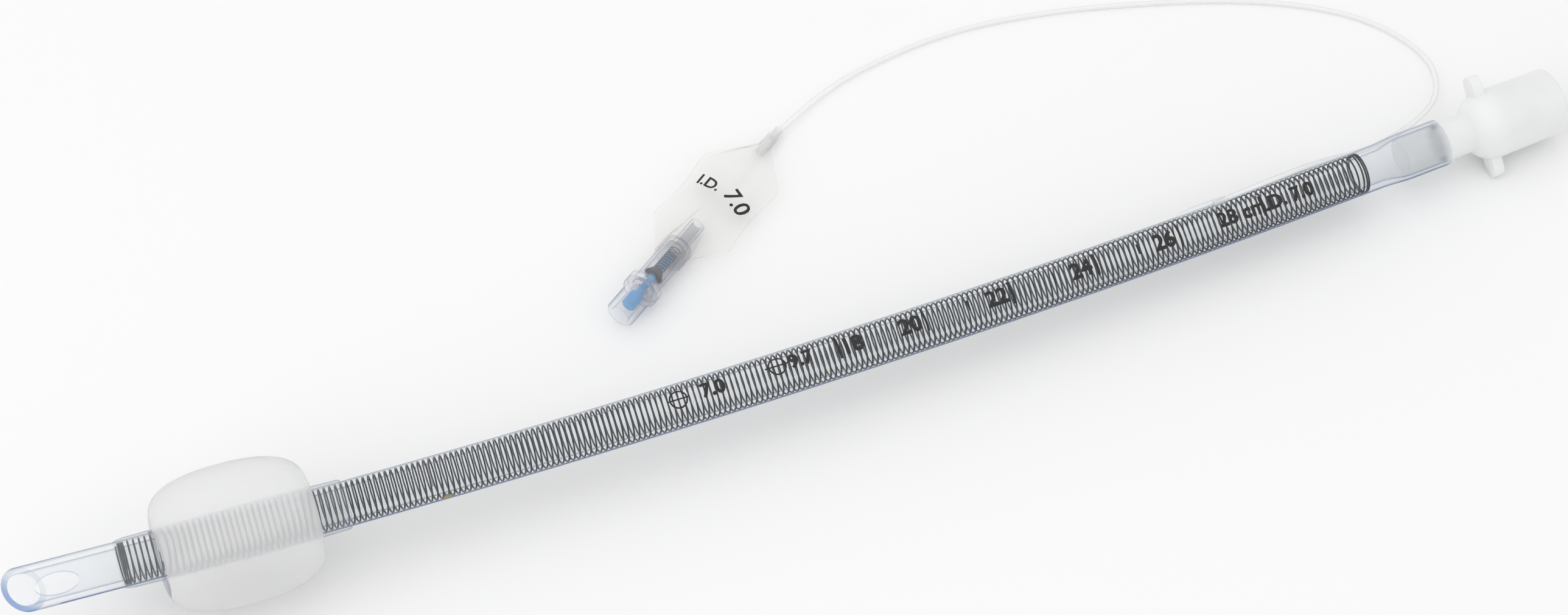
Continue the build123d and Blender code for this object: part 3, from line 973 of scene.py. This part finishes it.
bag_rows = 104
bag_columns = 64
bag_sheets = []
for sheet_side in (1, -1):
    bpy.ops.object.select_all(action="DESELECT")
    bpy.ops.mesh.primitive_grid_add(x_subdivisions=bag_rows, y_subdivisions=bag_columns, size=2)
    film = bpy.context.object
    for vertex in film.data.vertices:
        u = bag_start + (vertex.co.x + 1) / 2 * bag_length
        share = sin(vertex.co.y * pi / 2)
        height = bag_height(u, share) if abs(vertex.co.y) < 0.9999 else 0
        vertex.co = (u, share * between(bag_widths, u), sheet_side * height)
    bag_sheets.append(film)
select_only(*bag_sheets)
bpy.ops.object.join()
bag = bpy.context.object
bag.name = bag.data.name = "balloon_film"
bpy.ops.object.mode_set(mode="EDIT")
bpy.ops.mesh.select_all(action="SELECT")
bpy.ops.mesh.remove_doubles(threshold=0.003)
bpy.ops.mesh.normals_make_consistent(inside=False)
bpy.ops.object.mode_set(mode="OBJECT")
on_valve(bag)

# Clear film: it shows by its folds and welds, and hardly at all where it lies flat
balloon_film = clear_plastic(
    "pvc_film_welded_clear", "#EFEFEA", "#84857F", 0.12, 0.9, 0.12, wave=40, relief=0.35
)
finish(bag, balloon_film, "clear_film", "pilot_balloon")


# Neck sleeve: a short tube of soft PVC between the balloon's neck and the inflation line,
# bonded to both, so the line leaves through two steps.
sleeve = turned(
    "neck_tube",
    [
        (54.0, 0.62),
        (54.0, 0.95),
        (62.05, 0.95),
        (62.2, 0.85),
        (62.2, 0.62),
        (54.0, 0.62),
    ],
    sides=32,
)
on_valve(sleeve)
finish(sleeve, soft_pvc, "soft_pvc", "neck_sleeve")


# Prints: black ink pressed on the tube by a pad. There are depth marks in centimetres from
# the tip, the inside and outside sizes with their signs, and the size again on the balloon.
print_lift = 0.03
print_strip = 0.45

# Pad-printed ink: a flat black, a little thinner in patches of about 1 mm
ink = mottled(
    "ink_pad_printed_black", "#0A0A0B", "#232324", 1.111, {"Roughness": 0.5}, detail=3.0
)


def lettering(name, words, size, weight):
    """Flat lettering in mm as a mesh on the origin, its strokes widened by the weight."""
    bpy.ops.object.select_all(action="DESELECT")
    bpy.ops.object.text_add()
    text = bpy.context.object
    text.name = text.data.name = name
    text.data.body = words
    text.data.size = size
    text.data.offset = weight
    text.data.align_x = "CENTER"
    text.data.align_y = "CENTER"
    text.data.resolution_u = 3
    bpy.ops.object.convert(target="MESH")
    return bpy.context.object


def wrapped(piece, s, direction):
    """Lays a flat piece, in mm, round the tube's outside at s and a direction in degrees."""
    select_only(piece)
    bpy.ops.object.mode_set(mode="EDIT")
    for step in range(-14, 15):
        bpy.ops.mesh.select_all(action="SELECT")
        bpy.ops.mesh.bisect(plane_co=(0, step * print_strip, 0), plane_no=(0, 1, 0))
    bpy.ops.object.mode_set(mode="OBJECT")
    radius = tube_radius + print_lift
    for vertex in piece.data.vertices:
        turn = radians(direction) - vertex.co.y / radius
        vertex.co = (s + vertex.co.x, radius * cos(turn), radius * sin(turn))
    along_tube(piece)
    finish(piece, ink, None)


# The sizes and the depth numbers
for words, size, weight, s, direction in (
    ("7.0", 4.4, 0.17, 151.6, 104),
    ("9.7", 4.4, 0.17, 171.6, 100),
    ("18", 5.0, 0.19, 183.2, 105),
    ("20", 5.0, 0.19, 196.7, 105),
    ("22", 5.0, 0.19, 216.8, 108),
    ("24", 5.0, 0.19, 236.6, 110.5),
    ("26", 5.0, 0.19, 256.4, 112),
    ("28 cm", 4.6, 0.16, 275.2, 112),
    ("I.D. 7.0", 4.4, 0.17, 286.1, 113),
):
    name = "print_" + words.replace(".", "").replace(" ", "_")
    wrapped(lettering(f"{name}_at_{round(s)}", words, size, weight), s, direction)

# The centimetre lines, long and short by turns
for mark, width, first, last in (
    (18, 0.55, 66, 131),
    (20, 0.55, 68, 133),
    (21, 0.45, 89, 116),
    (22, 0.55, 74, 137),
    (23, 0.45, 92, 120),
    (24, 0.55, 79, 138),
    (25, 0.45, 95, 122),
    (26, 0.55, 80, 139),
    (27, 0.45, 98, 126),
    (28, 0.55, 84, 139),
):
    bpy.ops.object.select_all(action="DESELECT")
    bpy.ops.mesh.primitive_plane_add(size=1)
    tick = bpy.context.object
    tick.name = tick.data.name = f"print_tick_{mark}"
    reach = radians(last - first) * (tube_radius + print_lift)
    tick.data.transform(Matrix.Diagonal((width, reach, 1, 1)))
    wrapped(tick, mark * 10 + 0.2, (first + last) / 2)

# The signs for the inside and the outside size: a ring with a bar across it
for name, bar, s, direction in (("inside", 4.6, 143.8, 105), ("outside", 5.6, 166.3, 98.6)):
    bpy.ops.object.select_all(action="DESELECT")
    bpy.ops.mesh.primitive_circle_add(vertices=48, radius=2.05)
    ring = bpy.context.object
    ring.name = ring.data.name = f"print_size_{name}"
    bpy.ops.object.mode_set(mode="EDIT")
    bpy.ops.mesh.select_all(action="SELECT")
    bpy.ops.mesh.extrude_region_move()
    bpy.ops.transform.resize(value=(0.82, 0.82, 1), center_override=(0, 0, 0))
    bpy.ops.mesh.primitive_plane_add(size=1)
    bpy.ops.transform.resize(value=(bar, 0.34, 1), center_override=(0, 0, 0))
    bpy.ops.object.mode_set(mode="OBJECT")
    wrapped(ring, s, direction)

# The size on the balloon's upper film
for words, size, u, y, tilt in (("I.D.", 3.9, 40.1, 3.9, 0), ("7.0", 5.4, 39.05, -4.1, -25)):
    balloon_print = lettering("print_balloon_" + words.replace(".", ""), words, size, 0.09)
    bpy.ops.object.mode_set(mode="EDIT")
    for step in range(-7, 8):
        bpy.ops.mesh.select_all(action="SELECT")
        bpy.ops.mesh.bisect(plane_co=(step * 0.6, 0, 0), plane_no=(1, 0, 0))
    bpy.ops.object.mode_set(mode="OBJECT")
    balloon_print.data.transform(Matrix.Rotation(radians(tilt), 4, "Z"))
    for vertex in balloon_print.data.vertices:
        place = u + vertex.co.y
        aside = y - vertex.co.x
        share = aside / between(bag_widths, place)
        vertex.co = (place, aside, bag_height(place, share) + print_lift)
    on_valve(balloon_print)
    finish(balloon_print, ink, None)


# Inflation channel's ends: a channel in the tube's wall carries the cuff's air. Where its
# unused length starts it is stopped with a smear of grey glue and a drop of amber glue.
smear_place = 88.9
drop_place = 91.6
drop_sunk = 0.15
bpy.ops.object.select_all(action="DESELECT")
bpy.ops.mesh.primitive_plane_add(size=1)
smear = bpy.context.object
smear.name = smear.data.name = "glue_smear"
smear.data.transform(Matrix.Diagonal((0.7, 5.6, 1, 1)))
wrapped(smear, smear_place, 106)

# Smeared glue: a thin grey veil with no shine
grey_glue = clear_plastic("glue_smeared_grey", "#5C5B58", "#4A4946", 0.55, 0.8, 0.4)
smear.data.materials[0] = grey_glue

bpy.ops.object.select_all(action="DESELECT")
bpy.ops.mesh.primitive_uv_sphere_add(segments=24, ring_count=14, radius=0.75)
drop = bpy.context.object
drop.name = drop.data.name = "glue_drop"
drop.data.transform(Matrix.Diagonal((1.25, 0.6, 0.9, 1)))
drop.data.transform(Matrix.Translation((drop_place, -tube_radius + drop_sunk, -0.5)))
along_tube(drop)

# Cured glue: a yellow-brown bead, glossy and half clear
amber_glue = clear_plastic("glue_cured_amber", "#A79A72", "#5D4E2A", 0.75, 0.95, 0.2)
finish(drop, amber_glue, None)


# Floor and light: a white sheet under soft studio light from above, the left and behind.
bpy.ops.object.select_all(action="DESELECT")
bpy.ops.mesh.primitive_plane_add(size=4)
floor = bpy.context.object
floor.name = floor.data.name = "white_sheet"

# Matt white: bright and even, so that only the soft shadows show
white_sheet, tree, output = new_material("white_sheet_matt")
shader = add_node(
    tree, "ShaderNodeBsdfPrincipled", {"Base Color": colour("#F6F6F6"), "Roughness": 0.8}
)
tree.links.new(shader.outputs["BSDF"], output.inputs["Surface"])
floor.data.materials.append(white_sheet)

world = bpy.data.worlds.new("studio")
world.use_nodes = True
world.node_tree.nodes["Background"].inputs["Color"].default_value = (1, 1, 1, 1)
world.node_tree.nodes["Background"].inputs["Strength"].default_value = 0.8
bpy.context.scene.world = world
bpy.context.scene.view_settings.view_transform = "Standard"

for name, place, size, power in (
    ("softbox_above", (-0.18, 0.25, 0.9), 1.2, 2.1),
    ("softbox_left", (-0.78, -0.3, 0.6), 0.9, 1.25),
    ("softbox_right", (0.62, -0.5, 0.7), 0.9, 0.95),
):
    lamp_data = bpy.data.lights.new(name, "AREA")
    lamp_data.energy = power
    lamp_data.size = size
    lamp = bpy.data.objects.new(name, lamp_data)
    bpy.context.collection.objects.link(lamp)
    lamp.location = place
    lamp.rotation_euler = (-Vector(place)).to_track_quat("-Z", "Y").to_euler()
